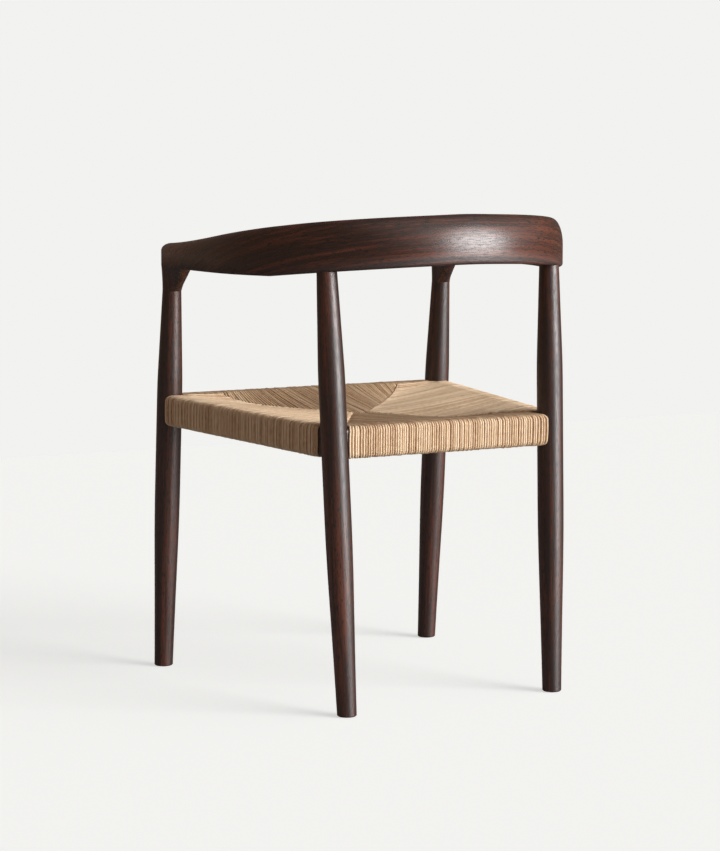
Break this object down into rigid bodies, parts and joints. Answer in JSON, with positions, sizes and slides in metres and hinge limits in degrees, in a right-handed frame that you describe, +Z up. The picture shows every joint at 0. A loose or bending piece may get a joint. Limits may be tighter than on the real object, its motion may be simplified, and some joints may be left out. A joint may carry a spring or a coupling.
{
  "type": "woven seat armchair",
  "caption": "Wooden armchair with turned legs, a curved one-level backrest that runs into the arms, and a dished seat of woven paper cord.",
  "frame": {"origin": "on the floor, under the middle of the chair's overall width and length", "axes": "+Z up, -Y the way the sitter faces, +X the sitter's left"},
  "size_m": [0.585, 0.5679, 0.7493],
  "materials": {
    "dark_wood": "satin dark espresso stain over open-grained hardwood",
    "paper_cord": "twisted unbleached paper cord, matte with a slight wax sheen",
    "steel": "bright steel tacks",
    "nylon": "black nylon"
  },
  "bodies": {
    "root": {"leg_front_left": "dark_wood", "leg_front_right": "dark_wood", "leg_back_left": "dark_wood", "leg_back_right": "dark_wood", "backrest": "dark_wood", "arm_left": "dark_wood", "arm_right": "dark_wood", "knee_left": "dark_wood", "knee_right": "dark_wood", "bow_tenon_left": "dark_wood", "bow_tenon_right": "dark_wood", "seat_rail_front": "dark_wood", "seat_rail_back": "dark_wood", "seat_rail_left": "dark_wood", "seat_rail_right": "dark_wood", "weave_front": "paper_cord", "weave_back": "paper_cord", "weave_left": "paper_cord", "weave_right": "paper_cord", "front_wrap_left": "paper_cord", "front_wrap_right": "paper_cord", "cord_tacks": "steel", "glides": "nylon"}
  },
  "joints": []
}
